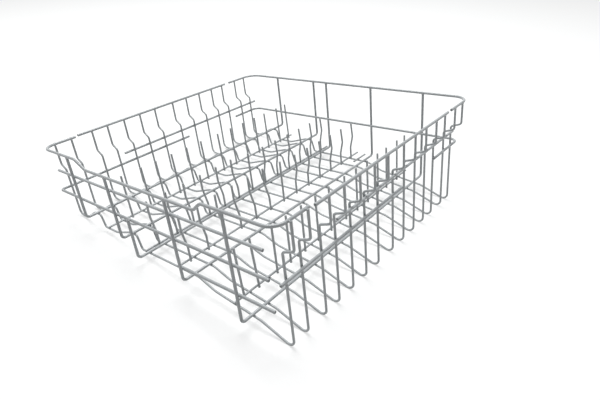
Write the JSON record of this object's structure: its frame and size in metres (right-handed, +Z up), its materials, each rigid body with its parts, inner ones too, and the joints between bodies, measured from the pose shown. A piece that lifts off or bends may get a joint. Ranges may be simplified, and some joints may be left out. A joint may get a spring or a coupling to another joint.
{
  "type": "dishwasher basket",
  "caption": "Upper dishwasher basket of bent and welded coated wire, with a stepped floor, a dipped front rim and rows of upright tines.",
  "frame": {"origin": "under the middle of the basket, at the height of its lowest wire", "axes": "+X across the machine towards the deep side of the basket, +Y from the front to the rear, +Z up"},
  "size_m": [0.5042, 0.4872, 0.1841],
  "materials": {
    "coated_wire_frame": "grey nylon coating on steel wire, satin, 4.3 mm over the coating",
    "coated_wire_thin": "grey nylon coating on steel wire, satin, 3.4 mm over the coating"
  },
  "bodies": {
    "root": {"cross_wire_01": "coated_wire_thin", "cross_wire_02": "coated_wire_thin", "cross_wire_03": "coated_wire_thin", "cross_wire_04": "coated_wire_thin", "cross_wire_05": "coated_wire_thin", "cross_wire_06": "coated_wire_thin", "cross_wire_07": "coated_wire_thin", "cross_wire_08": "coated_wire_thin", "cross_wire_09": "coated_wire_thin", "cross_wire_10": "coated_wire_thin", "cross_wire_11": "coated_wire_thin", "cross_wire_12": "coated_wire_thin", "cross_wire_13": "coated_wire_thin", "cross_wire_14": "coated_wire_thin", "long_wire_1": "coated_wire_frame", "long_wire_2": "coated_wire_frame", "long_wire_3": "coated_wire_frame", "long_wire_4": "coated_wire_frame", "long_wire_5": "coated_wire_frame", "rim_front": "coated_wire_frame", "rim_rear": "coated_wire_frame", "rim_left": "coated_wire_frame", "rim_right": "coated_wire_frame", "front_wire_upper": "coated_wire_frame", "front_corner_wire": "coated_wire_frame", "front_wire_lower": "coated_wire_frame", "rear_band_wire": "coated_wire_frame", "left_side_wire": "coated_wire_frame", "right_side_wire_upper": "coated_wire_frame", "right_side_wire_lower": "coated_wire_frame", "rear_stub_wire": "coated_wire_thin", "tine_base_1": "coated_wire_thin", "tine_base_2": "coated_wire_thin", "tine_base_3": "coated_wire_thin", "tine_base_4": "coated_wire_thin", "tines_1": "coated_wire_thin", "tines_2": "coated_wire_thin", "tines_3": "coated_wire_thin", "tines_4": "coated_wire_thin"}
  },
  "joints": []
}
